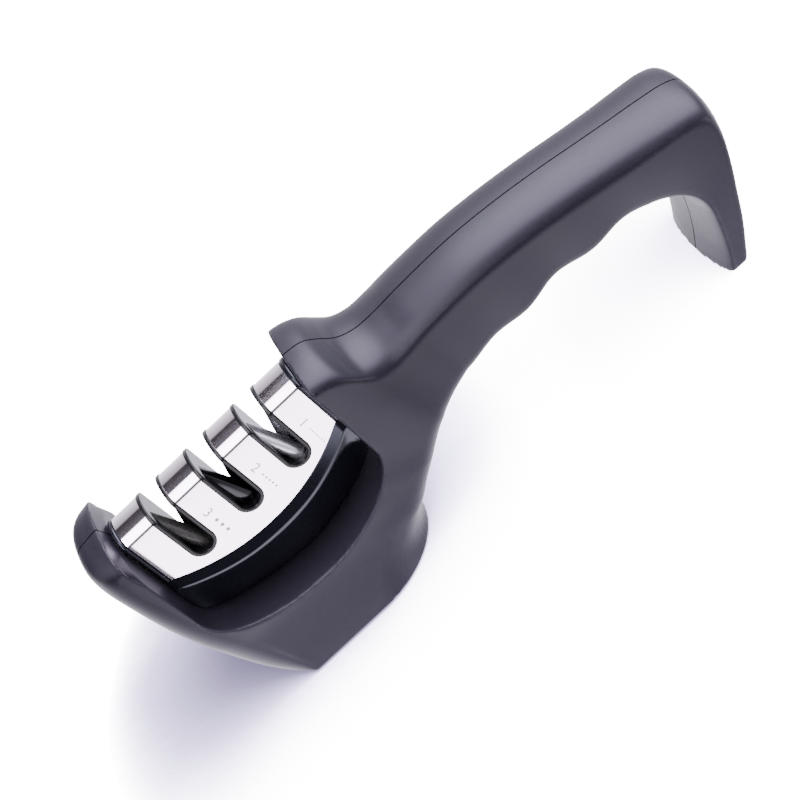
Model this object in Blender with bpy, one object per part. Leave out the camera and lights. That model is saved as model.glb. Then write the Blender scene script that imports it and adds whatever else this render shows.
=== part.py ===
"""Hand-held three-stage knife sharpener, built from separate moulded and metal pieces.

Metres, +Z up.  X runs along the tool, from the nose at -X to the hooked end of the handle at +X.
The origin is at the bottom centre of the bounding box, so the tool stands on the plane Z = 0.
All the dimensions below are in millimetres and become metres when a mesh is made.
"""
import math

import bpy
import bmesh
from mathutils import Matrix, Vector

MM = 0.001
GAP = 0.3                       # clearance between touching pieces
SEAM = 0.15                     # half the clearance between the two handle shells

# Shell outline: one row for each cross-section, from the foot, up the neck, along the handle
# and down the hook.  A section is a flat ring between an inner point (rear of the neck, underside
# of the handle, front of the hook) and an outer point (prow, nose, top of the handle, back).
# Columns: inner x, inner z, outer x, outer z, half width, inner narrowing, length and squareness of
# the rounding at the inner end, and the same at the outer end.
SECTIONS = (
    (-28.4, 0.6, -95.9, 0.6, 17.5, 1.00, 25.0, 2.0, 16.0, 1.15),
    (-28.2, 3.5, -96.9, 7.0, 17.5, 1.00, 23.0, 2.0, 15.5, 1.45),
    (-27.2, 6.5, -98.5, 16.0, 17.5, 1.00, 20.0, 2.1, 15.0, 1.80),
    (-24.8, 9.8, -100.1, 26.0, 17.6, 1.00, 17.0, 2.3, 14.0, 2.15),
    (-21.9, 12.4, -101.4, 38.0, 17.7, 1.00, 14.5, 2.5, 13.0, 2.40),
    (-18.9, 15.0, -102.3, 52.0, 17.8, 0.98, 12.5, 2.5, 12.0, 2.50),
    (-15.9, 17.4, -102.5, 64.0, 17.8, 0.96, 11.0, 2.5, 11.0, 2.50),
    (-14.0, 18.8, -100.5, 69.6, 17.8, 0.95, 10.5, 2.5, 10.5, 2.60),
    (-12.6, 19.9, -94.9, 71.0, 17.8, 0.94, 10.0, 2.5, 10.0, 2.60),
    (-11.3, 20.9, -89.3, 71.2, 17.8, 0.93, 10.0, 2.5, 10.0, 2.60),
    (-9.4, 22.3, -65.7, 71.2, 17.8, 0.91, 9.5, 2.5, 8.0, 2.60),
    (-6.8, 24.3, -40.7, 71.1, 17.9, 0.89, 9.0, 2.5, 6.0, 2.60),
    (-5.3, 25.3, -25.2, 70.7, 18.0, 0.87, 8.5, 2.5, 5.2, 2.50),
    (-3.9, 26.2, -17.9, 69.7, 17.9, 0.86, 8.0, 2.5, 7.5, 2.30),
    (-2.7, 26.9, -13.9, 66.4, 17.7, 0.85, 8.0, 2.5, 8.5, 2.10),
    (-1.0, 27.8, -10.5, 62.9, 17.4, 0.84, 7.5, 2.5, 8.0, 2.10),
    (2.1, 29.2, -5.1, 60.9, 17.1, 0.82, 7.0, 2.5, 7.4, 2.10),
    (6.0, 30.6, 1.9, 60.7, 16.9, 0.80, 6.5, 2.5, 6.8, 2.10),
    (11.6, 32.0, 10.6, 61.2, 16.7, 0.78, 6.0, 2.5, 6.6, 2.10),
    (27.3, 33.3, 27.3, 61.4, 16.5, 0.77, 5.0, 2.4, 6.6, 2.10),
    (42.3, 33.8, 42.3, 60.2, 16.5, 0.77, 5.0, 2.4, 6.8, 2.10),
    (56.3, 33.2, 57.3, 58.0, 16.6, 0.77, 5.0, 2.4, 7.0, 2.10),
    (67.3, 32.7, 69.8, 55.6, 16.7, 0.80, 5.0, 2.4, 7.0, 2.10),
    (73.8, 31.4, 80.3, 53.6, 16.8, 0.84, 4.5, 2.4, 6.8, 2.10),
    (78.5, 29.0, 89.7, 51.9, 16.9, 0.88, 4.0, 2.3, 6.4, 2.10),
    (81.5, 26.4, 98.1, 49.9, 17.0, 0.92, 3.6, 2.3, 6.2, 2.15),
    (83.1, 23.4, 102.3, 46.6, 17.0, 0.95, 3.2, 2.2, 6.0, 2.20),
    (83.6, 20.2, 102.1, 39.2, 17.0, 0.98, 3.0, 2.2, 5.6, 2.20),
    (83.1, 17.0, 99.6, 30.4, 17.1, 1.00, 2.8, 2.1, 5.0, 2.20),
    (81.7, 12.0, 96.1, 21.2, 17.3, 1.00, 2.8, 2.1, 4.6, 2.20),
    (79.8, 7.0, 92.5, 12.0, 17.6, 1.00, 3.0, 2.0, 4.2, 2.20),
    (77.7, 2.6, 88.6, 4.0, 17.9, 1.00, 3.2, 2.0, 3.8, 2.20),
    (76.3, 0.0, 86.5, 0.0, 18.0, 1.00, 3.3, 2.0, 3.6, 2.20),
)
STEPS_PER_SECTION = 2           # rings made for each row above
CAP_STEPS = 5                   # points in the rounding at each end of a ring
FLANK_STEPS = 5                 # points along the flat flank of a ring
FOOT_FLARE = 5.7                # how far the foot spreads beyond the body on each side
FOOT_FLARE_HEIGHT = 22.0
FOOT_FLARE_POWER = 1.8

# Finger waves under the handle
WAVE_HEIGHT = 1.1
WAVE_PITCH = 24.0
WAVE_CREST = 19.3
WAVE_SPAN = (9.3, 73.3)

# Cradle: the U-shaped cut, open at its top and at both flanks, that takes the cartridge
CRADLE_X = (-91.1, -24.2)
CRADLE_SHOULDER = 38.0          # height where its upright ends turn into the curved floor
CRADLE_TOP = 95.0
CRADLE_FLOOR = 20.0             # lowest point of the curved floor
CRADLE_SQUARENESS = (2.3, 1.8)  # of the floor's rounding, towards the nose and towards the neck
CRADLE_STEPS = 18

# Handle hollow
WALL = 2.6
HOLLOW_SECTIONS = (16.0, 24.0)  # rows of SECTIONS between which the handle is hollow

# Cartridge
STEEL_X = (-88.9, -26.7)
STEEL_HALF = 7.0
STEEL_WALL = 0.5
ARCH_Z = 64.1                   # where the flat sides turn into the round top
ARCH_RISE = 0.5                 # height of the round top over its half width
STEEL_CORNER_Z = (47.0, 48.0)
STEEL_SAG = 9.3                 # how far the middle of the lower edge hangs below its corners
FRAME_HALF = STEEL_HALF - STEEL_WALL - GAP
RIB_HALF = 7.4
RIB_OUTER_X = (-90.6, -24.8)
TRAY_HALF = (7.7, 8.6)          # at its top edge and at the moulded line
TRAY_LINE_DROP = 3.4
TRAY_KEEL = (4.0, 4.6)          # half width at the bottom amidships, and how much wider at the ends
TRAY_CLEARANCE = 1.1            # from the cradle's floor
BELLY_STEPS = 4
FRAME_FOOT_DEPTH = 6.0          # how deep the frame's tongue sits in the tray
CARTRIDGE_PIECES = ("cartridge_", "steel_cover", "slot_liner_", "tray_screw_",
                    "ceramic_bar_", "carbide_bar_", "diamond_bar_")

# Knife slots and the abrasive bars in them
SLOT_X = (-75.6, -57.9, -40.2)
SLOT_BARS = ("ceramic", "carbide", "diamond")
SLOT_WIDTH = 8.4
SLOT_BOTTOM = 44.9
LINER_WALL = 0.8
VEE_Z = 55.2                    # where the two abrasive surfaces cross
VEE_HALF_ANGLE = math.radians(17.0)
BAR_RADIUS = 2.4
BAR_OFFSET_Y = 2.8
BAR_ENDS = (-10.0, 10.2)        # along the bar's axis from the height of the crossing

# Foot pad
PAD_INSET = 3.2
PAD_TOP = 1.8

# Fasteners: place in x and z, tip in y and seat of the head in y
SHELL_SCREWS = {
    "nose": (-95.5, 26.0, -5.5, 5.0),
    "foot": (-36.7, 8.0, -9.0, 11.0),
    "neck": (6.5, 46.0, -9.0, 11.0),
    "grip": (41.0, 47.0, -9.0, 11.0),
    "tail": (76.0, 43.0, -9.0, 11.0),
}
BOSSES = ("neck", "grip", "tail")
SHELL_SCREW_RADIUS = 1.4
SHELL_SCREW_HEAD = (2.8, 2.0)
BOSS_RADIUS = 4.0
BOSS_RECESS = 0.45              # the bosses stop just short of the seam
TRAY_SCREW_X = (-66.7, -49.1)
TRAY_SCREW_RADIUS = 1.1
TRAY_SCREW_HEAD = (2.1, 1.4)
TRAY_SCREW_TOP = 36.0

MATERIALS = {
    "satin_plastic": ((0.055, 0.052, 0.062, 1.0), 0.38, 0.0),
    "gloss_plastic": ((0.008, 0.008, 0.012, 1.0), 0.12, 0.0),
    "stainless": ((0.72, 0.71, 0.73, 1.0), 0.16, 1.0),
    "rubber": ((0.02, 0.02, 0.02, 1.0), 0.85, 0.0),
    "diamond": ((0.55, 0.55, 0.57, 1.0), 0.35, 0.6),
    "carbide": ((0.03, 0.03, 0.035, 1.0), 0.12, 0.7),
    "ceramic": ((0.12, 0.12, 0.12, 1.0), 0.6, 0.0),
    "screw_steel": ((0.35, 0.35, 0.37, 1.0), 0.35, 1.0),
}


def clear_scene():
    """Remove whatever the file opened with."""
    for item in list(bpy.data.objects):
        bpy.data.objects.remove(item, do_unlink=True)


def material(name):
    """Return the named Principled material, making it the first time."""
    found = bpy.data.materials.get(name)
    if found:
        return found
    colour, roughness, metallic = MATERIALS[name]
    made = bpy.data.materials.new(name)
    made.use_nodes = True
    shader = made.node_tree.nodes["Principled BSDF"]
    shader.inputs["Base Color"].default_value = colour
    shader.inputs["Roughness"].default_value = roughness
    shader.inputs["Metallic"].default_value = metallic
    return made


def add_object(name, mesh, material_name, smooth_angle=35.0):
    """Put a mesh into the scene as a piece with its material."""
    piece = bpy.data.objects.new(name, mesh)
    bpy.context.collection.objects.link(piece)
    if material_name:
        mesh.materials.append(material(material_name))
    mesh.shade_smooth()
    mesh.set_sharp_from_angle(angle=math.radians(smooth_angle))
    return piece


def mesh_from_rings(name, rings):
    """Join closed rings of equal length, in millimetres, into one capped solid."""
    work = bmesh.new()
    rows = [[work.verts.new(Vector(point) * MM) for point in ring] for ring in rings]
    count = len(rings[0])
    for row, following in zip(rows, rows[1:]):
        for i in range(count):
            j = (i + 1) % count
            work.faces.new((row[i], row[j], following[j], following[i]))
    work.faces.new(rows[0][::-1])
    work.faces.new(rows[-1])
    bmesh.ops.recalc_face_normals(work, faces=work.faces)
    mesh = bpy.data.meshes.new(name)
    work.to_mesh(mesh)
    work.free()
    return mesh


def cutter(name, rings):
    """A hidden solid that other pieces are cut with."""
    made = add_object(name, mesh_from_rings(name, rings), None)
    made.hide_render = True
    made.display_type = "WIRE"
    return made


def cut(piece, tools, operation="DIFFERENCE"):
    """Give a piece one exact Boolean for each tool."""
    for tool in tools:
        change = piece.modifiers.new(operation.title() + "_" + tool.name, "BOOLEAN")
        change.operation = operation
        change.object = tool
        change.solver = "EXACT"


def spline(values, place):
    """Catmull-Rom value at a fractional row of a list of numbers."""
    low = min(int(place), len(values) - 2)
    f = place - low
    p1, p2 = values[low], values[low + 1]
    p0 = values[low - 1] if low > 0 else 2 * p1 - p2
    p3 = values[low + 2] if low + 2 < len(values) else 2 * p2 - p1
    return 0.5 * (2 * p1 + (p2 - p0) * f + (2 * p0 - 5 * p1 + 4 * p2 - p3) * f ** 2
                  + (3 * p1 - p0 - 3 * p2 + p3) * f ** 3)


def wave(x, z):
    """Lift of the handle's underside at the finger waves; it fades out above and at both ends."""
    start, end = WAVE_SPAN
    if not start < x < end:
        return 0.0
    fade = math.sin(math.pi * (x - start) / (end - start)) ** 0.5
    return WAVE_HEIGHT * fade * math.cos(2 * math.pi * (x - WAVE_CREST) / WAVE_PITCH)


def half_section(place, side, inset=0.0, seam=SEAM):
    """Points of one half ring, from the outer point round the flank to the inner point.

    The ring stops at the seam, or with a negative seam passes the middle plane by that much.
    """
    row = [spline([section[column] for section in SECTIONS], place) for column in range(10)]
    ix, iz, ox, oz, half, narrow, in_len, in_square, out_len, out_square = row
    iz += wave(ix, iz)
    length = math.hypot(ox - ix, oz - iz)
    step_x, step_z = (ix - ox) / length, (iz - oz) / length
    spots = []
    for i in range(CAP_STEPS + 1):
        angle = 0.5 * math.pi * i / CAP_STEPS
        along = out_len * (1 - math.cos(angle) ** (2 / out_square))
        spots.append((along, math.sin(angle) ** (2 / out_square)))
    for i in range(1, FLANK_STEPS):
        spots.append((out_len + (length - out_len - in_len) * i / FLANK_STEPS, 1.0))
    for i in range(CAP_STEPS, -1, -1):
        angle = 0.5 * math.pi * i / CAP_STEPS
        along = length - in_len * (1 - math.cos(angle) ** (2 / in_square))
        spots.append((along, math.sin(angle) ** (2 / in_square)))
    points = []
    for along, fullness in spots:
        depth = inset + along * (length - 2 * inset) / length
        x, z = ox + step_x * depth, oz + step_z * depth
        width = half * (1 - (1 - narrow) * depth / length)
        low = max(0.0, 1 - z / FOOT_FLARE_HEIGHT)
        if x < 0:
            width += FOOT_FLARE * low ** FOOT_FLARE_POWER
        across = (width - inset) * fullness
        across = max(across, seam) if seam >= 0 else across + seam
        points.append((x, side * across, z))
    return points


def body_rings(side, first, last, inset=0.0, seam=SEAM):
    """Half rings between two rows of SECTIONS."""
    steps = int(round((last - first) * STEPS_PER_SECTION))
    places = [first + (last - first) * i / steps for i in range(steps + 1)]
    return [half_section(place, side, inset, seam) for place in places]


def cradle_outline():
    """U-shaped outline of the cradle in x and z."""
    left, right = CRADLE_X
    middle, reach = (left + right) / 2, (right - left) / 2
    points = [(left, CRADLE_TOP)]
    for i in range(CRADLE_STEPS + 1):
        angle = math.pi * i / CRADLE_STEPS
        square = CRADLE_SQUARENESS[0 if i < CRADLE_STEPS / 2 else 1]
        across = abs(math.cos(angle)) ** (2 / square) * math.copysign(1, math.cos(angle))
        down = math.sin(angle) ** (2 / square)
        points.append((middle - reach * across, CRADLE_SHOULDER - (CRADLE_SHOULDER - CRADLE_FLOOR) * down))
    points.append((right, CRADLE_TOP))
    return points


def cradle_cutter():
    """The cut for the cartridge, straight through both shells."""
    return cutter("cradle_cutter", prism(cradle_outline(), -30.0, 30.0, "y"))


def turned(name, axis_point, axis, profile, sides, material_name=None):
    """A turned solid: profile rows are distance along the axis and radius, in millimetres."""
    axis = Vector(axis).normalized()
    helper = Vector((1, 0, 0)) if abs(axis.x) < 0.9 else Vector((0, 0, 1))
    u = axis.cross(helper).normalized()
    v = axis.cross(u)
    rings = []
    for along, radius in profile:
        centre = Vector(axis_point) + axis * along
        turns = [2 * math.pi * i / sides for i in range(sides)]
        rings.append([centre + (u * math.cos(a) + v * math.sin(a)) * radius for a in turns])
    if material_name is None:
        return cutter(name, rings)
    return add_object(name, mesh_from_rings(name, rings), material_name)


def prism(outline, start, end, axis):
    """Two rings of an outline, given in the plane across the axis, for a straight solid."""
    rings = []
    for place in (start, end):
        if axis == "y":
            rings.append([(a, place, b) for a, b in outline])
        elif axis == "x":
            rings.append([(place, a, b) for a, b in outline])
        else:
            rings.append([(a, b, place) for a, b in outline])
    return rings


def pad_outline(inset):
    """Plan of the foot, drawn in from its edge."""
    near = half_section(0.0, -1, seam=0.0)
    centre = (SECTIONS[0][0] + SECTIONS[0][2]) / 2
    reach = (SECTIONS[0][0] - SECTIONS[0][2]) / 2
    outline = []
    for x, y, _ in near:
        shrink_x = centre + (x - centre) * (reach - inset) / reach
        outline.append((shrink_x, y * (1 - inset / (SECTIONS[0][4] + FOOT_FLARE))))
    far = [(x, -y) for x, y in reversed(outline[1:-1])]
    return outline + far


def make_shell(name, side, tools):
    """One half of the body with its hollow, bosses, cradle and screw holes."""
    outer = mesh_from_rings(name, body_rings(side, 0.0, len(SECTIONS) - 1.0))
    shell = add_object(name, outer, "satin_plastic", 50.0)
    hollow_rings = body_rings(side, *HOLLOW_SECTIONS, inset=WALL, seam=-0.5)
    hollow = cutter(name + "_hollow", hollow_rings)
    for boss in BOSSES:
        x, z = SHELL_SCREWS[boss][:2]
        start, end = (-20.0, -BOSS_RECESS) if side < 0 else (BOSS_RECESS, 20.0)
        post = turned(name + "_boss_" + boss, (x, 0, z), (0, 1, 0),
                      ((start, BOSS_RADIUS), (end, BOSS_RADIUS)), 12)
        cut(hollow, [post])
    cut(shell, [hollow] + tools)
    return shell


def shell_screw(label, x, z, tip, head):
    """A shell screw and the hole that it needs."""
    head_radius, head_height = SHELL_SCREW_HEAD
    turned("shell_screw_" + label, (x, 0, z), (0, 1, 0),
           ((tip, 0.5), (tip + 1.5, SHELL_SCREW_RADIUS), (head, SHELL_SCREW_RADIUS),
            (head, head_radius), (head + head_height * 0.6, head_radius),
            (head + head_height, head_radius * 0.6)), 14, "screw_steel")
    return turned("hole_" + label, (x, 0, z), (0, 1, 0),
                  ((tip - GAP, SHELL_SCREW_RADIUS + GAP), (head - GAP, SHELL_SCREW_RADIUS + GAP),
                   (head - GAP, head_radius + GAP), (30.0, head_radius + GAP)), 14)


def steel_edge(x):
    """Height of the cover's curved lower edge at a place along it."""
    left, right = STEEL_X
    f = min(max((x - left) / (right - left), 0.0), 1.0)
    corner = STEEL_CORNER_Z[0] + (STEEL_CORNER_Z[1] - STEEL_CORNER_Z[0]) * f
    return corner - STEEL_SAG * (1 - abs(2 * f - 1) ** 2.1)


def arch(half, low, steps=12):
    """Outline in y and z of an upright with a round top."""
    points = [(-half, low)]
    for i in range(steps + 1):
        angle = math.pi * i / steps
        points.append((-half * math.cos(angle), ARCH_Z + ARCH_RISE * half * math.sin(angle)))
    points.append((half, low))
    return points


def stretch(start, end, steps):
    """Evenly spaced places between two ends."""
    return [start + (end - start) * i / steps for i in range(steps + 1)]


def slot_outline(x, width, bottom, top=80.0, steps=8):
    """Outline in x and z of an open-topped slot with a round end."""
    radius = width / 2
    points = [(x - radius, top)]
    for i in range(steps + 1):
        angle = math.pi * i / steps
        points.append((x - radius * math.cos(angle), bottom + radius - radius * math.sin(angle)))
    points.append((x + radius, top))
    return points


def slot_cutter(index, x):
    """The opening through the cover and the frame for one slot."""
    outline = slot_outline(x, SLOT_WIDTH, SLOT_BOTTOM)
    return cutter("slot_cutter_%d" % index, prism(outline, -20.0, 20.0, "y"))


def make_cover(slots):
    """Stainless cover: an arch of sheet with a curved lower edge and three slots."""
    rings = []
    for x in stretch(STEEL_X[0], STEEL_X[1], 14):
        outer = arch(STEEL_HALF, steel_edge(x))
        inner = arch(STEEL_HALF - STEEL_WALL, steel_edge(x))
        rings.append([(x, y, z) for y, z in outer + inner[::-1]])
    cover = add_object("steel_cover", mesh_from_rings("steel_cover", rings), "stainless")
    cut(cover, slots)


def frame_section(x):
    """Section of the frame's block: an arch standing on a tongue inside the tray."""
    low = steel_edge(x) - GAP - FRAME_FOOT_DEPTH
    return [(x, y, z) for y, z in arch(FRAME_HALF, low)]


def make_frame(slots, bar_holes, screw_holes):
    """Black block under the cover, with a raised rib at each end."""
    rings = [frame_section(x) for x in stretch(STEEL_X[0] - GAP, STEEL_X[1] + GAP, 12)]
    frame = add_object("cartridge_frame", mesh_from_rings("cartridge_frame", rings), "gloss_plastic")
    ribs = []
    for label, near, far in (("front", STEEL_X[0] - GAP, RIB_OUTER_X[0]),
                             ("rear", STEEL_X[1] + GAP, RIB_OUTER_X[1])):
        inward = 0.4 if near > far else -0.4
        outline = arch(RIB_HALF, steel_edge(near) + GAP)
        ends = [near, far] if near < far else [far, near]
        core = arch(FRAME_HALF - 0.1, steel_edge(near) + 2 * GAP)
        root = sorted((near + inward, (near + far) / 2))
        rib = cutter("rib_" + label, prism(outline, ends[0], ends[1], "x"))
        neck = cutter("rib_root_" + label, prism(core, root[0], root[1], "x"))
        ribs += [rib, neck]
    cut(frame, ribs, "UNION")
    cut(frame, slots + bar_holes + screw_holes)


def tray_floor(x):
    """Underside of the tray, which follows the cradle's floor."""
    left, right = CRADLE_X
    middle, reach = (left + right) / 2, (right - left) / 2
    across = min(abs(x - middle) / reach, 0.985)
    square = CRADLE_SQUARENESS[0 if x < middle else 1]
    drop = (1 - across ** square) ** (1 / square)
    return CRADLE_SHOULDER - (CRADLE_SHOULDER - CRADLE_FLOOR) * drop + TRAY_CLEARANCE


def tray_section(x):
    """Section of the tray in the upright plane at x, with a rounded belly below the moulded line."""
    edge = steel_edge(x) - GAP
    floor = tray_floor(x)
    line = max(edge - TRAY_LINE_DROP, floor + 3.0)
    top, middle = TRAY_HALF
    off_centre = abs(2 * (x - CRADLE_X[0]) / (CRADLE_X[1] - CRADLE_X[0]) - 1)
    keel = min(TRAY_KEEL[0] + TRAY_KEEL[1] * off_centre ** 6, middle - 0.3)
    half = [(top, edge)]
    for i in range(BELLY_STEPS + 1):
        down = i / BELLY_STEPS
        half.append((keel + (middle - keel) * (1 - down ** 2), line + (floor - line) * down))
    near = [(-y, z) for y, z in half]
    return [(x, y, z) for y, z in near + half[::-1]]


def make_tray(frame_seat, screw_holes):
    """Lower carrier that shows below the cover and sits in the cradle."""
    rings = [tray_section(x) for x in stretch(RIB_OUTER_X[0], RIB_OUTER_X[1], 20)]
    tray = add_object("cartridge_tray", mesh_from_rings("cartridge_tray", rings), "gloss_plastic")
    cut(tray, [frame_seat] + screw_holes)


def frame_seat_cutter():
    """Channel in the tray for the frame's tongue."""
    rings = []
    for x in stretch(STEEL_X[0] - 2 * GAP - 0.1, STEEL_X[1] + 2 * GAP + 0.1, 12):
        low = steel_edge(x) - FRAME_FOOT_DEPTH - 2 * GAP
        rings.append([(x, -FRAME_HALF - GAP, low), (x, -FRAME_HALF - GAP, 60.0),
                      (x, FRAME_HALF + GAP, 60.0), (x, FRAME_HALF + GAP, low)])
    return cutter("frame_seat", rings)


def make_liner(index, x, bar_holes):
    """Channel that lines one slot and stands a little proud of the cover."""
    width = SLOT_WIDTH - 2 * GAP
    outer = slot_outline(x, width, SLOT_BOTTOM + GAP)
    inner = slot_outline(x, width - 2 * LINER_WALL, SLOT_BOTTOM + GAP + LINER_WALL)
    mesh = mesh_from_rings("slot_liner_%d" % index, prism(outer + inner[::-1], -RIB_HALF, RIB_HALF, "y"))
    liner = add_object("slot_liner_%d" % index, mesh, "gloss_plastic")
    crown = cutter("liner_crown_%d" % index, prism(arch(RIB_HALF + 0.001, 30.0, 16), x - 10, x + 10, "x"))
    cut(liner, [crown], "INTERSECT")
    cut(liner, bar_holes)


def bar_axis(x, lean):
    """Point and direction of an abrasive bar; lean is -1 towards the nose at its top, +1 away."""
    radius = BAR_RADIUS / math.cos(VEE_HALF_ANGLE)
    point = (x + lean * radius, lean * BAR_OFFSET_Y, VEE_Z)
    direction = (lean * math.sin(VEE_HALF_ANGLE), 0.0, math.cos(VEE_HALF_ANGLE))
    return point, direction


def make_bars(index, x):
    """The two crossed abrasive bars of one slot, and the sockets that they stand in."""
    kind = SLOT_BARS[index]
    sides = 4 if kind == "carbide" else 16
    sockets = []
    for label, lean in (("near", -1), ("far", 1)):
        point, direction = bar_axis(x, lean)
        low, high = BAR_ENDS
        reach = BAR_RADIUS * (math.sqrt(2) * 0.88 if sides == 4 else 1.0)
        name = "%s_bar_%s" % (kind, label)
        bar = turned(name, (0, 0, 0), (0, 0, 1),
                     ((low, reach - 0.4), (low + 0.4, reach), (high - 0.4, reach), (high, reach - 0.4)),
                     sides, kind)
        if sides == 4:
            bar.data.transform(Matrix.Rotation(math.radians(45), 4, "Z"))
        bar.matrix_world = (Matrix.Translation(Vector(point) * MM)
                            @ Vector((0, 0, 1)).rotation_difference(Vector(direction)).to_matrix().to_4x4())
        sockets.append(turned("socket_%d_%s" % (index, label), point, direction,
                              ((low - GAP, reach + GAP), (high + 14.0, reach + GAP)), 14))
    return sockets


def make_tray_screws():
    """Screws that hold the frame down in the tray, and their holes."""
    holes = []
    for number, x in enumerate(TRAY_SCREW_X, 1):
        floor = tray_floor(x)
        head_radius, head_height = TRAY_SCREW_HEAD
        base = floor + 4.0
        turned("tray_screw_%d" % number, (x, 0, 0), (0, 0, 1),
               ((base, head_radius * 0.7), (base + 0.5, head_radius), (base + head_height, head_radius),
                (base + head_height, TRAY_SCREW_RADIUS), (TRAY_SCREW_TOP - 1, TRAY_SCREW_RADIUS),
                (TRAY_SCREW_TOP, 0.4)), 12, "screw_steel")
        holes.append(turned("tray_screw_hole_%d" % number, (x, 0, 0), (0, 0, 1),
                            ((0.0, head_radius + GAP), (base + head_height + GAP, head_radius + GAP),
                             (base + head_height + GAP, TRAY_SCREW_RADIUS + GAP),
                             (TRAY_SCREW_TOP + GAP, TRAY_SCREW_RADIUS + GAP)), 12))
    return holes


def make_pad():
    """Non-slip foot pad, and the recess that it sits in."""
    mesh = mesh_from_rings("foot_pad", prism(pad_outline(PAD_INSET), 0.0, PAD_TOP, "z"))
    add_object("foot_pad", mesh, "rubber")
    return cutter("pad_recess", prism(pad_outline(PAD_INSET - GAP), -5.0, PAD_TOP + GAP, "z"))


def hang_on_lift():
    """Parent the cartridge's pieces to an empty on the line that it lifts along."""
    lift = bpy.data.objects.new("cartridge_lift", None)
    lift.location = Vector((sum(CRADLE_X) / 2, 0.0, CRADLE_FLOOR)) * MM
    bpy.context.collection.objects.link(lift)
    bpy.context.view_layer.update()
    for piece in list(bpy.data.objects):
        if piece.type == "MESH" and not piece.hide_render and piece.name.startswith(CARTRIDGE_PIECES):
            piece.parent = lift
            piece.matrix_parent_inverse = lift.matrix_world.inverted()


def build():
    """Make every piece."""
    clear_scene()
    recess = make_pad()
    cradle = cradle_cutter()
    holes = [shell_screw(label, *place) for label, place in SHELL_SCREWS.items()]
    make_shell("shell_left", -1, [cradle, recess] + holes)
    make_shell("shell_right", 1, [cradle, recess] + holes)
    slots = [slot_cutter(index, x) for index, x in enumerate(SLOT_X)]
    sockets = [make_bars(index, x) for index, x in enumerate(SLOT_X)]
    every_socket = [socket for pair in sockets for socket in pair]
    tray_holes = make_tray_screws()
    make_cover(slots)
    make_frame(slots, every_socket, tray_holes)
    make_tray(frame_seat_cutter(), tray_holes)
    for index, x in enumerate(SLOT_X):
        make_liner(index, x, sockets[index])
    hang_on_lift()


build()
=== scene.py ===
"""Finished look of the hand-held knife sharpener: fine surfaces, materials, studio and camera.

Metres, +Z up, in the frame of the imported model.  Lengths below are in millimetres until a mesh is
made.  Every detailed piece stands for the CAD piece of the same place and rides on its body.
"""
import math

import bpy
import bmesh
import numpy as np
from mathutils import Matrix, Vector


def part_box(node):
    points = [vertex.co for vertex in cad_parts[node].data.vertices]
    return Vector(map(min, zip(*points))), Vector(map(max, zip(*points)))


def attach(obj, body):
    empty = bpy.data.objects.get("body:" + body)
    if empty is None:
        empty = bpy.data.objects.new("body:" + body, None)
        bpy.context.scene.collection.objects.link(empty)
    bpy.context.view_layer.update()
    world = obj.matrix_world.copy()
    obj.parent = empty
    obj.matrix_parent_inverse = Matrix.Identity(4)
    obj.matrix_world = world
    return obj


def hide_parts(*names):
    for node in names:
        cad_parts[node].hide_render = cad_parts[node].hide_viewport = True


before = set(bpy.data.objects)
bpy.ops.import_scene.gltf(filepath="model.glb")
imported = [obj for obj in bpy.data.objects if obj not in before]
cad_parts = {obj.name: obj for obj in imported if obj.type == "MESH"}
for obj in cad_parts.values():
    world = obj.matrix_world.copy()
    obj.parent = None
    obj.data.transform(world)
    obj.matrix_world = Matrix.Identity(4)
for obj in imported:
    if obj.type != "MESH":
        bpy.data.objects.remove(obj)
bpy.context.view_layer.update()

MM = 0.001
BODY = "body"
CARTRIDGE = "cartridge"

# ---------------------------------------------------------------- shared dimensions
GAP = 0.3

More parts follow.
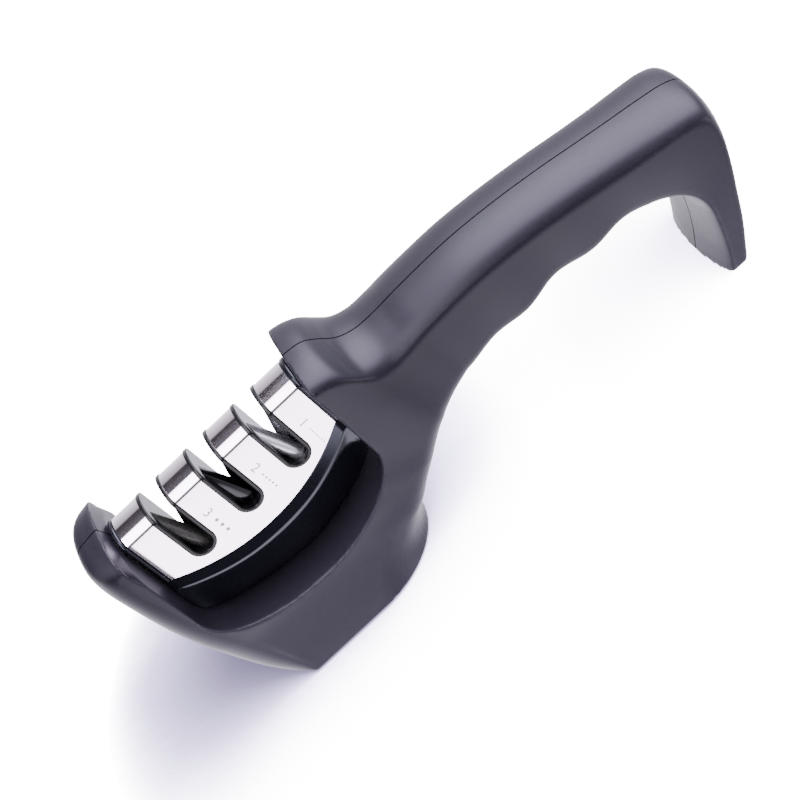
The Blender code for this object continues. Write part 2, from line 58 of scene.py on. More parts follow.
# Shell outline, one row for each cross-section from the foot to the end of the hook.
# Columns: inner x, inner z, outer x, outer z, half width, inner narrowing, length and squareness of
# the rounding at the inner end, and the same at the outer end.
SECTIONS = (
    (-28.4, 0.6, -95.9, 0.6, 17.5, 1.00, 25.0, 2.0, 16.0, 1.15),
    (-28.2, 3.5, -96.9, 7.0, 17.5, 1.00, 23.0, 2.0, 15.5, 1.45),
    (-27.2, 6.5, -98.5, 16.0, 17.5, 1.00, 20.0, 2.1, 15.0, 1.80),
    (-24.8, 9.8, -100.1, 26.0, 17.6, 1.00, 17.0, 2.3, 14.0, 2.15),
    (-21.9, 12.4, -101.4, 38.0, 17.7, 1.00, 14.5, 2.5, 13.0, 2.40),
    (-18.9, 15.0, -102.3, 52.0, 17.8, 0.98, 12.5, 2.5, 12.0, 2.50),
    (-15.9, 17.4, -102.5, 64.0, 17.8, 0.96, 11.0, 2.5, 11.0, 2.50),
    (-14.0, 18.8, -100.5, 69.6, 17.8, 0.95, 10.5, 2.5, 10.5, 2.60),
    (-12.6, 19.9, -94.9, 71.0, 17.8, 0.94, 10.0, 2.5, 10.0, 2.60),
    (-11.3, 20.9, -89.3, 71.2, 17.8, 0.93, 10.0, 2.5, 10.0, 2.60),
    (-9.4, 22.3, -65.7, 71.2, 17.8, 0.91, 9.5, 2.5, 8.0, 2.60),
    (-6.8, 24.3, -40.7, 71.1, 17.9, 0.89, 9.0, 2.5, 6.0, 2.60),
    (-5.3, 25.3, -25.2, 70.7, 18.0, 0.87, 8.5, 2.5, 5.2, 2.50),
    (-3.9, 26.2, -17.9, 69.7, 17.9, 0.86, 8.0, 2.5, 7.5, 2.30),
    (-2.7, 26.9, -13.9, 66.4, 17.7, 0.85, 8.0, 2.5, 8.5, 2.10),
    (-1.0, 27.8, -10.5, 62.9, 17.4, 0.84, 7.5, 2.5, 8.0, 2.10),
    (2.1, 29.2, -5.1, 60.9, 17.1, 0.82, 7.0, 2.5, 7.4, 2.10),
    (6.0, 30.6, 1.9, 60.7, 16.9, 0.80, 6.5, 2.5, 6.8, 2.10),
    (11.6, 32.0, 10.6, 61.2, 16.7, 0.78, 6.0, 2.5, 6.6, 2.10),
    (27.3, 33.3, 27.3, 61.4, 16.5, 0.77, 5.0, 2.4, 6.6, 2.10),
    (42.3, 33.8, 42.3, 60.2, 16.5, 0.77, 5.0, 2.4, 6.8, 2.10),
    (56.3, 33.2, 57.3, 58.0, 16.6, 0.77, 5.0, 2.4, 7.0, 2.10),
    (67.3, 32.7, 69.8, 55.6, 16.7, 0.80, 5.0, 2.4, 7.0, 2.10),
    (73.8, 31.4, 80.3, 53.6, 16.8, 0.84, 4.5, 2.4, 6.8, 2.10),
    (78.5, 29.0, 89.7, 51.9, 16.9, 0.88, 4.0, 2.3, 6.4, 2.10),
    (81.5, 26.4, 98.1, 49.9, 17.0, 0.92, 3.6, 2.3, 6.2, 2.15),
    (83.1, 23.4, 102.3, 46.6, 17.0, 0.95, 3.2, 2.2, 6.0, 2.20),
    (83.6, 20.2, 102.1, 39.2, 17.0, 0.98, 3.0, 2.2, 5.6, 2.20),
    (83.1, 17.0, 99.6, 30.4, 17.1, 1.00, 2.8, 2.1, 5.0, 2.20),
    (81.7, 12.0, 96.1, 21.2, 17.3, 1.00, 2.8, 2.1, 4.6, 2.20),
    (79.8, 7.0, 92.5, 12.0, 17.6, 1.00, 3.0, 2.0, 4.2, 2.20),
    (77.7, 2.6, 88.6, 4.0, 17.9, 1.00, 3.2, 2.0, 3.8, 2.20),
    (76.3, 0.0, 86.5, 0.0, 18.0, 1.00, 3.3, 2.0, 3.6, 2.20),
)
STEPS_PER_SECTION = 8
CAP_STEPS = 14
FLANK_STEPS = 12
FOOT_FLARE = 5.7
FOOT_FLARE_HEIGHT = 22.0
FOOT_FLARE_POWER = 1.8
WAVE_HEIGHT = 1.1
WAVE_PITCH = 24.0
WAVE_CREST = 19.3
WAVE_SPAN = (9.3, 73.3)

# Nose: the rounded top of its section, and the bevel of the inner wall
NOSE_HALF = 17.8
NOSE_SQUARENESS = 2.6
NOSE_ROUND_Z = (61.2, 10.0)     # where the rounding starts, and its height
NOSE_BEVEL = (1.1, 4.8)         # how far back the bevel goes, and how far down
NOSE_WALL_REACH = 2.4           # how far the bevel's lean is felt from the inner wall
NOSE_LOWEST = 40.0              # nothing under this height is bevelled

# Cradle: the U-shaped cut that takes the cartridge
CRADLE_X = (-91.1, -24.2)
CRADLE_SHOULDER = 38.0
CRADLE_TOP = 95.0
CRADLE_FLOOR = 20.0
CRADLE_SQUARENESS = (2.3, 1.8)
CRADLE_STEPS = 72

# Cartridge
STEEL_X = (-88.9, -26.7)
STEEL_HALF = 7.0
STEEL_WALL = 0.5
ARCH_Z = 64.1
ARCH_RISE = 0.5
STEEL_CORNER_Z = (47.0, 48.0)
STEEL_SAG = 9.3
STEEL_SAG_SQUARENESS = 2.1
FRAME_HALF = STEEL_HALF - STEEL_WALL - GAP
FRAME_FOOT_DEPTH = 6.0
RIB_HALF = 7.4
RIB_OUTER_X = (-90.6, -24.8)
RIB_RIM = ((0.0, -0.45), (0.13, -0.13), (0.45, 0.0))    # rounding of a rim: along x, and outwards
TRAY_HALF = (7.05, 7.75)        # half width at the top and at the moulded line
TRAY_LINE_DROP = 3.4            # from the cover's edge down to the moulded line
TRAY_KEEL = (4.0, 4.6)          # half width of the keel at mid length, and what the ends add
TRAY_KEEL_POWER = 6
TRAY_CLEARANCE = 1.1
TRAY_REACH = 0.985              # how near the cradle's ends the tray follows its floor
TRAY_LEAST_DEPTH = 3.0          # of the belly
# Points from the cover's edge to the moulded line: outwards and upwards, from the top edge, then
# from the line.  They make a fine step there.
TRAY_TOP_POINTS = ((-0.04, 0.1), (0.0, 0.0), (0.04, -0.2))
TRAY_LINE_POINTS = ((-0.13, 0.32), (-0.10, 0.16), (-0.02, 0.03))
BELLY_TOP_DROP = 0.25
BELLY_STEPS = 16
BELLY_LEAN = 0.55               # share of a straight lean in the belly's profile, the rest is curve
SLOT_X = (-75.6, -57.9, -40.2)
SLOT_BARS = ("ceramic", "carbide", "diamond")
SLOT_WIDTH = 8.4
SLOT_BOTTOM = 44.9
LINER_WALL = 0.8
LIP_WIDTH = 0.45
LIP_UNDER = 0.02                # between the lip's underside and the steel
VEE_Z = 55.2
VEE_HALF_ANGLE = math.radians(17.0)
BAR_RADIUS = 2.4
BAR_OFFSET_Y = 2.8
BAR_ENDS = (-10.0, 10.2)
BAR_EASE = 0.35
CARBIDE_SIDE = 0.88             # half side of a square bar over a round bar's radius
CARBIDE_BEVEL = 0.25

# Stage marks on the cover
MARK_PROUD = 0.012
MARK_PLACE = (7.6, 55.0)        # x from the slot's middle, and z
NUMERAL_SIZE = 4.2
NUMERAL_THICKNESS = 0.004
DOT_ROW_START = 2.6
DOT_ROW_LENGTH = 7.2
DOT_RADIUS = 0.24               # in pitches
DOT_SIDES = 20
FEWEST_DOTS = 3

# Fasteners: x, z, tip y and seat of the head in y
SHELL_SCREWS = {
    "nose": (-95.5, 26.0, -5.5, 5.0),
    "foot": (-36.7, 8.0, -9.0, 11.0),
    "neck": (6.5, 46.0, -9.0, 11.0),
    "grip": (41.0, 47.0, -9.0, 11.0),
    "tail": (76.0, 43.0, -9.0, 11.0),
}
SHELL_SCREW_RADIUS = 1.4
SHELL_SCREW_HEAD = (2.8, 2.0)   # radius and height
SCREW_POINT = (0.4, 1.5)        # radius of the tip, and length of the taper
CROSS_ARM = (2.9, 0.55)         # length and width of the recess's arms
CROSS_SEAT = 0.8                # height of its floor over the head's seat

# Foot pad
PAD_INSET = 3.2
PAD_TOP = 1.8
GROOVE_COUNT = 13
GROOVE_MARGIN = 5.0
GROOVE_HALF = (0.9, 0.5)        # half width below the pad and at the groove's floor
GROOVE_DEPTH = 0.7

# Fine detail
OVERLAP = 2.5                   # how far a shell runs past the middle plane before it is cut there
SEAM_LINE = 0.24                # half the width of the line between the shells
SHELL_VOXEL = 0.42
SHELL_SMOOTHING = 5
LINER_VOXEL = 0.17
LINER_SMOOTHING = 4
# Reach of the painted shade that keeps the satin's hollows dark
PAINTED_SHADE_REACH = 22.0             # how near a wall has to be to make a hollow


# ---------------------------------------------------------------- mesh helpers
def link(piece):
    """Put an object into the scene."""
    bpy.context.scene.collection.objects.link(piece)
    return piece


def shade(piece, angle=35.0):
    """Shade smooth, with creases sharper than an angle kept."""
    piece.data.shade_smooth()
    piece.data.set_sharp_from_angle(angle=math.radians(angle))


def mesh_object(name, points, faces):
    """An object from points in millimetres."""
    mesh = bpy.data.meshes.new(name)
    mesh.from_pydata([tuple(c * MM for c in point) for point in points], [], faces)
    work = bmesh.new()
    work.from_mesh(mesh)
    bmesh.ops.recalc_face_normals(work, faces=work.faces)
    work.to_mesh(mesh)
    work.free()
    return link(bpy.data.objects.new(name, mesh))


def loft(name, rings):
    """Closed solid through closed rings of equal length."""
    count = len(rings[0])
    points = [point for ring in rings for point in ring]
    faces = []
    for k in range(len(rings) - 1):
        base, above = k * count, (k + 1) * count
        for i in range(count):
            j = (i + 1) % count
            faces.append((base + i, base + j, above + j, above + i))
    faces.append(tuple(range(count))[::-1])
    faces.append(tuple(range(len(points) - count, len(points))))
    return mesh_object(name, points, faces)


def prism(name, outline, start, end, axis):
    """Straight solid from an outline given in the plane across an axis."""
    orders = {"x": lambda a, b, t: (t, a, b), "y": lambda a, b, t: (a, t, b), "z": lambda a, b, t: (a, b, t)}
    return loft(name, [[orders[axis](a, b, t) for a, b in outline] for t in (start, end)])


def turned(name, axis_point, axis, profile, sides):
    """Turned solid: profile rows are distance along the axis and radius."""
    axis = Vector(axis).normalized()
    helper = Vector((1, 0, 0)) if abs(axis.x) < 0.9 else Vector((0, 0, 1))
    u = axis.cross(helper).normalized()
    v = axis.cross(u)
    rings = []
    for along, radius in profile:
        centre = Vector(axis_point) + axis * along
        turns = [2 * math.pi * i / sides for i in range(sides)]
        rings.append([tuple(centre + (u * math.cos(a) + v * math.sin(a)) * radius) for a in turns])
    return loft(name, rings)


def settle(piece):
    """Apply a piece's modifiers."""
    shaped = bpy.data.meshes.new_from_object(piece.evaluated_get(bpy.context.evaluated_depsgraph_get()))
    piece.modifiers.clear()
    piece.data = shaped


def combine(piece, tools, operation="DIFFERENCE"):
    """Cut or join tools with a piece, and remove them."""
    for tool in tools:
        change = piece.modifiers.new("change", "BOOLEAN")
        change.operation = operation
        change.object = tool
        change.solver = "EXACT"
    bpy.context.view_layer.update()
    settle(piece)
    for tool in tools:
        bpy.data.objects.remove(tool, do_unlink=True)


def soften(piece, voxel, passes):
    """Rebuild the surface evenly and round its edges slightly."""
    remesh = piece.modifiers.new("even", "REMESH")
    remesh.mode = "VOXEL"
    remesh.voxel_size = voxel * MM
    remesh.adaptivity = 0.0
    smooth = piece.modifiers.new("round", "SMOOTH")
    smooth.factor = 0.5
    smooth.iterations = passes
    bpy.context.view_layer.update()
    settle(piece)
    piece.data.shade_smooth()


def edit_points(piece, change):
    """Move a mesh's vertices with a function of their N by 3 array, in millimetres."""
    flat = np.empty(len(piece.data.vertices) * 3)
    piece.data.vertices.foreach_get("co", flat)
    points = flat.reshape(-1, 3) / MM
    piece.data.vertices.foreach_set("co", (change(points) * MM).ravel())
    piece.data.update()


def finish_piece(piece, surface, body, stands_for=()):
    """Give a piece its material, body and the CAD nodes it stands for."""
    piece.data.materials.clear()
    piece.data.materials.append(surface)
    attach(piece, body)
    if stands_for:
        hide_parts(*stands_for)
    return piece


# ---------------------------------------------------------------- shells
def spline(values, place):
    """Catmull-Rom value at a fractional row of a list of numbers."""
    low = min(int(place), len(values) - 2)
    f = place - low
    p1, p2 = values[low], values[low + 1]
    p0 = values[low - 1] if low > 0 else 2 * p1 - p2
    p3 = values[low + 2] if low + 2 < len(values) else 2 * p2 - p1
    return 0.5 * (2 * p1 + (p2 - p0) * f + (2 * p0 - 5 * p1 + 4 * p2 - p3) * f ** 2
                  + (3 * p1 - p0 - 3 * p2 + p3) * f ** 3)


def wave(x):
    """Lift of the handle's underside at the finger waves."""
    start, end = WAVE_SPAN
    if not start < x < end:
        return 0.0
    fade = math.sin(math.pi * (x - start) / (end - start)) ** 0.5
    return WAVE_HEIGHT * fade * math.cos(2 * math.pi * (x - WAVE_CREST) / WAVE_PITCH)


def cap_spots(length, square):
    """Distances from the tip and fullnesses of the points of a rounded end."""
    turns = [0.5 * math.pi * i / CAP_STEPS for i in range(CAP_STEPS + 1)]
    return [(length * (1 - math.cos(a) ** (2 / square)), math.sin(a) ** (2 / square)) for a in turns]


def ring_spots(length, in_len, in_square, out_len, out_square):
    """Distances from the outer end and fullnesses of the points of a half ring."""
    outer = cap_spots(out_len, out_square)
    inner = [(length - along, fullness) for along, fullness in cap_spots(in_len, in_square)[::-1]]
    flat = length - out_len - in_len
    flank = [(out_len + flat * i / FLANK_STEPS, 1.0) for i in range(1, FLANK_STEPS)]
    return outer + flank + inner


def half_section(place, side):
    """Points of one half ring, from the outer point round the flank to the inner point."""
    row = [spline([section[column] for section in SECTIONS], place) for column in range(10)]
    ix, iz, ox, oz, half, narrow, in_len, in_square, out_len, out_square = row
    iz += wave(ix)
    length = math.hypot(ox - ix, oz - iz)
    step_x, step_z = (ix - ox) / length, (iz - oz) / length
    points = []
    for along, fullness in ring_spots(length, in_len, in_square, out_len, out_square):
        x, z = ox + step_x * along, oz + step_z * along
        width = half * (1 - (1 - narrow) * along / length)
        if x < 0:
            width += FOOT_FLARE * max(0.0, 1 - z / FOOT_FLARE_HEIGHT) ** FOOT_FLARE_POWER
        points.append((x, side * width * fullness, z))
    return points


def overlapping_section(place, side):
    """A half ring that runs a little past the middle plane."""
    points = half_section(place, side)
    first, last = points[0], points[-1]
    return [(first[0], -side * OVERLAP, first[2])] + points + [(last[0], -side * OVERLAP, last[2])]


def split_at_seam(shell, side):
    """Cut the shell off just short of the middle plane, with a crisp edge, and close the cut."""
    work = bmesh.new()
    work.from_mesh(shell.data)
    everything = work.verts[:] + work.edges[:] + work.faces[:]
    bmesh.ops.bisect_plane(work, geom=everything, plane_co=(0, side * SEAM_LINE * MM, 0),
                           plane_no=(0, -side, 0), clear_outer=True)
    rim = [edge for edge in work.edges if edge.is_boundary]
    closed = bmesh.ops.triangle_fill(work, edges=rim, use_beauty=True)
    for item in closed["geom"]:
        if isinstance(item, bmesh.types.BMFace):
            item.smooth = False
    for edge in rim:
        edge.smooth = False
    bmesh.ops.recalc_face_normals(work, faces=work.faces)
    work.to_mesh(shell.data)
    work.free()


def cradle_outline():
    """U-shaped outline of the cradle in x and z."""
    left, right = CRADLE_X
    middle, reach = (left + right) / 2, (right - left) / 2
    points = [(left, CRADLE_TOP)]
    for i in range(CRADLE_STEPS + 1):
        angle = math.pi * i / CRADLE_STEPS
        square = CRADLE_SQUARENESS[0 if i < CRADLE_STEPS / 2 else 1]
        across = abs(math.cos(angle)) ** (2 / square) * math.copysign(1, math.cos(angle))
        down = math.sin(angle) ** (2 / square)
        points.append((middle - reach * across, CRADLE_SHOULDER - (CRADLE_SHOULDER - CRADLE_FLOOR) * down))
    points.append((right, CRADLE_TOP))
    return points


def nose_bevel(points):
    """Lean the top of the nose's inner wall back, so that a bevel faces the cartridge."""
    back, down = NOSE_BEVEL
    x, y, z = points.T
    start, height = NOSE_ROUND_Z
    round_off = np.clip(np.abs(y) / NOSE_HALF, 0, 1) ** NOSE_SQUARENESS
    top = start + height * (1 - round_off) ** (1 / NOSE_SQUARENESS)
    lean = back * np.clip(1 - (top - z) / down, 0, 1)
    inner_wall = np.clip(1 - np.abs(x - CRADLE_X[0]) / NOSE_WALL_REACH, 0, 1)
    points[:, 0] = np.where(z > NOSE_LOWEST, x - lean * inner_wall, x)
    return points


def screw_hole(label):
    """Hole and counterbore of a shell screw."""
    x, z, tip, seat = SHELL_SCREWS[label]
    return turned("hole_" + label, (x, 0, z), (0, 1, 0),
                  ((tip - GAP, SHELL_SCREW_RADIUS + GAP), (seat - GAP, SHELL_SCREW_RADIUS + GAP),
                   (seat - GAP, SHELL_SCREW_HEAD[0] + GAP), (30.0, SHELL_SCREW_HEAD[0] + GAP)), 48)


def pad_outline(inset):
    """Plan of the foot, drawn in from its edge."""
    inner, _, outer, _, half = SECTIONS[0][:5]
    centre = (inner + outer) / 2
    reach = (inner - outer) / 2
    outline = []
    for x, y, _ in half_section(0.0, -1):
        shrunk_x = centre + (x - centre) * (reach - inset) / reach
        outline.append((shrunk_x, y * (1 - inset / (half + FOOT_FLARE))))
    far = [(x, -y) for x, y in outline[1:-1][::-1]]
    return outline + far


def make_shell(name, side, surface):
    """One moulded half of the body."""
    steps = (len(SECTIONS) - 1) * STEPS_PER_SECTION
    rings = [overlapping_section(i / STEPS_PER_SECTION, side) for i in range(steps + 1)]
    shell = loft(name + "_moulding", rings)
    tools = [prism(name + "_cradle", cradle_outline(), -30.0, 30.0, "y"),
             prism(name + "_recess", pad_outline(PAD_INSET - GAP), -5.0, PAD_TOP + GAP, "z")]
    tools += [screw_hole(label) for label in SHELL_SCREWS]
    combine(shell, tools)
    soften(shell, SHELL_VOXEL, SHELL_SMOOTHING)
    edit_points(shell, nose_bevel)
    split_at_seam(shell, side)
    return finish_piece(shell, surface, BODY, (name,))


# ---------------------------------------------------------------- cartridge
def steel_edge(x):
    """Height of the cover's curved lower edge."""
    left, right = STEEL_X
    f = min(max((x - left) / (right - left), 0.0), 1.0)
    corner = STEEL_CORNER_Z[0] + (STEEL_CORNER_Z[1] - STEEL_CORNER_Z[0]) * f
    return corner - STEEL_SAG * (1 - abs(2 * f - 1) ** STEEL_SAG_SQUARENESS)


def arch(half, low, steps=48):
    """Outline in y and z of an upright with a round top."""
    points = [(-half, low)]
    for i in range(steps + 1):
        angle = math.pi * i / steps
        points.append((-half * math.cos(angle), ARCH_Z + ARCH_RISE * half * math.sin(angle)))
    points.append((half, low))
    return points


def stretch(start, end, steps):
    """Evenly spaced places between two ends."""
    return [start + (end - start) * i / steps for i in range(steps + 1)]


def slot_outline(x, width, bottom, top=80.0, steps=32):
    """Outline in x and z of an open-topped slot with a round end."""
    radius = width / 2
    points = [(x - radius, top)]
    for i in range(steps + 1):
        angle = math.pi * i / steps
        points.append((x - radius * math.cos(angle), bottom + radius - radius * math.sin(angle)))
    points.append((x + radius, top))
    return points


def slot_cutters(label, width=SLOT_WIDTH, bottom=SLOT_BOTTOM):
    """Openings of the three slots."""
    return [prism("%s_slot_%d" % (label, i), slot_outline(x, width, bottom), -20.0, 20.0, "y")
            for i, x in enumerate(SLOT_X)]


def make_cover(surface):
    """Stainless cover: an arch of sheet with a curved lower edge and three slots."""
    rings = []
    for x in stretch(STEEL_X[0], STEEL_X[1], 56):
        low = steel_edge(x)
        outline = arch(STEEL_HALF, low) + arch(STEEL_HALF - STEEL_WALL, low)[::-1]
        rings.append([(x, y, z) for y, z in outline])
    cover = loft("steel_cover_sheet", rings)
    combine(cover, slot_cutters("cover"))
    shade(cover, 30.0)
    return finish_piece(cover, surface, CARTRIDGE, ("steel_cover",))


def make_rib(label, inner, outer, surface):
    """Raised rib at one end of the cartridge, with a rounded rim."""
    low = steel_edge(inner) + GAP
    onward = math.copysign(1, outer - inner)
    places = [(inner + onward * along, rise) for along, rise in RIB_RIM]
    places += [(outer - onward * along, rise) for along, rise in RIB_RIM[::-1]]
    rings = [[(x, y, z) for y, z in arch(RIB_HALF + rise, low)] for x, rise in places]
    rib = loft("cartridge_rib_" + label, rings)
    shade(rib, 50.0)
    return finish_piece(rib, surface, CARTRIDGE)


def make_frame(surface):
    """Black block that carries the cover, with its two ribs."""
    rings = []
    for x in stretch(STEEL_X[0] - GAP, STEEL_X[1] + GAP, 40):
        low = steel_edge(x) - GAP - FRAME_FOOT_DEPTH
        rings.append([(x, y, z) for y, z in arch(FRAME_HALF, low, 24)])
    block = loft("cartridge_block", rings)
    combine(block, slot_cutters("block"))
    shade(block, 30.0)
    finish_piece(block, surface, CARTRIDGE, ("cartridge_frame",))
    make_rib("front", STEEL_X[0] - GAP, RIB_OUTER_X[0], surface)
    make_rib("rear", STEEL_X[1] + GAP, RIB_OUTER_X[1], surface)


def tray_floor(x):
    """Underside of the tray, which follows the cradle's floor."""
    left, right = CRADLE_X
    middle, reach = (left + right) / 2, (right - left) / 2
    across = min(abs(x - middle) / reach, TRAY_REACH)
    square = CRADLE_SQUARENESS[0 if x < middle else 1]
    drop = (1 - across ** square) ** (1 / square)
    return CRADLE_SHOULDER - (CRADLE_SHOULDER - CRADLE_FLOOR) * drop + TRAY_CLEARANCE


def tray_section(x):
    """Section of the tray: a fine step at the moulded line and a rounded belly below it."""
    edge = steel_edge(x) - GAP
    floor = tray_floor(x)
    line = max(edge - TRAY_LINE_DROP, floor + TRAY_LEAST_DEPTH)
    top, middle = TRAY_HALF
    off_centre = abs(2 * (x - CRADLE_X[0]) / (CRADLE_X[1] - CRADLE_X[0]) - 1)
    keel = min(TRAY_KEEL[0] + TRAY_KEEL[1] * off_centre ** TRAY_KEEL_POWER, middle - GAP)
    half = [(FRAME_HALF + GAP, edge + TRAY_TOP_POINTS[0][1])]
    half += [(top + out, edge + up) for out, up in TRAY_TOP_POINTS]
    half += [(middle + out, line + up) for out, up in TRAY_LINE_POINTS]
    belly_top = line - BELLY_TOP_DROP
    for i in range(BELLY_STEPS + 1):
        down = i / BELLY_STEPS
        tuck = BELLY_LEAN * down + (1 - BELLY_LEAN) * down ** 2
        half.append((keel + (middle - keel) * (1 - tuck), belly_top + (floor - belly_top) * down))
    near = [(-y, z) for y, z in half]
    return [(x, y, z) for y, z in near + half[::-1]]


def make_tray(surface):
    """Lower carrier that shows below the cover."""
    tray = loft("cartridge_tray_moulding", [tray_section(x) for x in stretch(*RIB_OUTER_X, 96)])
    shade(tray, 24.0)
    return finish_piece(tray, surface, CARTRIDGE, ("cartridge_tray",))


def make_liner(index, x, surface):
    """Channel that lines one slot, with a soft lip that stands a little proud of the steel."""
    name = "slot_liner_%d" % index
    width = SLOT_WIDTH - 2 * GAP
    bottom = SLOT_BOTTOM + GAP
    steel_half = STEEL_HALF + LIP_UNDER
    crown = prism(name + "_crown", arch(RIB_HALF, 30.0, 64), x - 8, x + 8, "x")
    outer = prism(name + "_lip", slot_outline(x, width + 2 * LIP_WIDTH, bottom - LIP_WIDTH), -9, 9, "y")
    hollow_outline = slot_outline(x, width - 2 * LINER_WALL, bottom + LINER_WALL)
    hollow = prism(name + "_hollow", hollow_outline, -20, 20, "y")
    core = prism(name + "_core", arch(steel_half, 30.0, 64), x - 8, x + 8, "x")
    inner = prism(name + "_inner", slot_outline(x, width, bottom), -9, 9, "y")
    combine(core, [inner], "INTERSECT")
    combine(outer, [crown], "INTERSECT")
    lip_hole = prism(name + "_under", arch(steel_half, 20.0, 64), x - 9, x + 9, "x")
    combine(outer, [lip_hole])
    combine(outer, [core], "UNION")
    combine(outer, [hollow])
    soften(outer, LINER_VOXEL, LINER_SMOOTHING)
    outer.name = name + "_moulding"
    return finish_piece(outer, surface, CARTRIDGE, (name,))


def bar_frame(x, lean):
    """Placement of an abrasive bar; lean is -1 towards the nose at its top, +1 away."""
    radius = BAR_RADIUS / math.cos(VEE_HALF_ANGLE)
    point = Vector((x + lean * radius, lean * BAR_OFFSET_Y, VEE_Z)) * MM
    turn = Matrix.Rotation(lean * VEE_HALF_ANGLE, 4, "Y")
    return Matrix.Translation(point) @ turn


def bar_profile(reach):
    """Profile of a round bar with eased ends."""
    low, high = BAR_ENDS
    turns = stretch(0.0, math.pi / 2, 4)
    start = [(low + BAR_EASE * (1 - math.cos(a)), reach - BAR_EASE * (1 - math.sin(a))) for a in turns]
    return start + [(low + high - along, radius) for along, radius in start[::-1]]


def make_bar(index, x, label, lean, surface):
    """One abrasive bar of a slot."""
    kind = SLOT_BARS[index]
    name = "%s_bar_%s" % (kind, label)
    if kind == "carbide":
        side = BAR_RADIUS * CARBIDE_SIDE
        outline = [(-side, -side), (side, -side), (side, side), (-side, side)]
        bar = prism(name + "_body", outline, BAR_ENDS[0], BAR_ENDS[1], "z")
        bevel = bar.modifiers.new("edges", "BEVEL")
        bevel.width = CARBIDE_BEVEL * MM
        bevel.segments = 3
        bpy.context.view_layer.update()
        settle(bar)
    else:
        bar = turned(name + "_body", (0, 0, 0), (0, 0, 1), bar_profile(BAR_RADIUS), 64)
    shade(bar, 40.0)
    bar.matrix_world = bar_frame(x, lean)
    return finish_piece(bar, surface, CARTRIDGE, (name,))


def make_marks(surface):
    """Etched stage marks on the near and far faces: a numeral and a grit scale beside each slot."""
    upright = Matrix.Rotation(math.radians(90), 4, "X")
    half_turn = Matrix.Rotation(math.radians(180), 4, "Z")
    faces = (("near", -1, upright, -90.0), ("far", 1, half_turn @ upright, 90.0))
    ahead, height = MARK_PLACE
    for index, x in enumerate(SLOT_X):
        stage = len(SLOT_X) - index
        for face, side, stand, spin in faces:
            parts = [numeral(stage), dot_row(FEWEST_DOTS + 2 * index)]
            marks = join_marks("stage_mark_%s_%d" % (face, stage), parts)
            place = Vector((x + ahead, side * (STEEL_HALF + MARK_PROUD), height)) * MM
            down_the_face = Matrix.Rotation(math.radians(spin), 4, "Z")
            marks.matrix_world = Matrix.Translation(place) @ stand @ down_the_face
            finish_piece(marks, surface, CARTRIDGE)


def numeral(number):
    """Outline numeral as a flat mesh."""
    text = bpy.data.curves.new("numeral", "FONT")
    text.body = str(number)
    text.size = NUMERAL_SIZE * MM
    text.align_x = "CENTER"
    text.align_y = "CENTER"
    text.extrude = NUMERAL_THICKNESS * MM
    piece = link(bpy.data.objects.new("numeral", text))
    bpy.context.view_layer.update()
    mesh = bpy.data.meshes.new_from_object(piece.evaluated_get(bpy.context.evaluated_depsgraph_get()))
    bpy.data.objects.remove(piece, do_unlink=True)
    return link(bpy.data.objects.new("numeral_mesh", mesh))


def dot_row(count):
    """Row of round dots, closer and smaller for a finer stage."""
    pitch = DOT_ROW_LENGTH / count
    radius = DOT_RADIUS * pitch
    points, faces = [], []
    for k in range(count):
        centre = DOT_ROW_START + (k + 0.5) * pitch
        base = len(points)
        for i in range(DOT_SIDES):
            angle = 2 * math.pi * i / DOT_SIDES
            points.append((centre + radius * math.cos(angle), radius * math.sin(angle), 0.0))
        faces.append(tuple(range(base, base + DOT_SIDES)))
    mesh = bpy.data.meshes.new("dots")
    mesh.from_pydata([tuple(c * MM for c in p) for p in points], [], faces)
    return link(bpy.data.objects.new("dots", mesh))


def join_marks(name, parts):
    """Join meshes into one object."""
    work = bmesh.new()
    for part in parts:
        work.from_mesh(part.data)
    mesh = bpy.data.meshes.new(name)
    work.to_mesh(mesh)
    work.free()
    for part in parts:
        bpy.data.objects.remove(part, do_unlink=True)
    return link(bpy.data.objects.new(name, mesh))


# ---------------------------------------------------------------- foot pad and screws
def make_pad(surface):
    """Rubber pad with shallow grooves across its underside."""
    pad = prism("foot_pad_rubber", pad_outline(PAD_INSET), 0.0, PAD_TOP, "z")
    low, high = (corner.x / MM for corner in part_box("foot_pad"))
    mouth, floor = GROOVE_HALF
    grooves = []
    for i, x in enumerate(stretch(low + GROOVE_MARGIN, high - GROOVE_MARGIN, GROOVE_COUNT - 1)):
        outline = [(x - mouth, -1.0), (x + mouth, -1.0), (x + floor, GROOVE_DEPTH), (x - floor, GROOVE_DEPTH)]
        grooves.append(prism("groove_%d" % i, outline, -15.0, 15.0, "y"))
    combine(pad, grooves)
    shade(pad, 30.0)
    return finish_piece(pad, surface, BODY, ("foot_pad",))


def make_shell_screw(label, surface):
    """Screw with a domed head and a cross recess."""
    x, z, tip, seat = SHELL_SCREWS[label]
    radius, height = SHELL_SCREW_HEAD
    point, taper = SCREW_POINT
    dome = [(seat + height * (0.45 + 0.55 * math.sin(a)), radius * math.cos(a) ** 0.6)
            for a in stretch(0.0, 0.42 * math.pi, 7)]
    profile = [(tip, point), (tip + taper, SHELL_SCREW_RADIUS), (seat, SHELL_SCREW_RADIUS), (seat, radius)]
    screw = turned("shell_screw_%s_turned" % label, (x, 0, z), (0, 1, 0), profile + dome, 48)
    arms = []
    for i, (wide, tall) in enumerate((CROSS_ARM, CROSS_ARM[::-1])):
        outline = [(x - wide / 2, z - tall / 2), (x + wide / 2, z - tall / 2),
                   (x + wide / 2, z + tall / 2), (x - wide / 2, z + tall / 2)]
        arms.append(prism("cross_%d" % i, outline, seat + CROSS_SEAT, seat + 5.0, "y"))
    combine(screw, arms)
    shade(screw, 30.0)
    return finish_piece(screw, surface, BODY, ("shell_screw_" + label,))


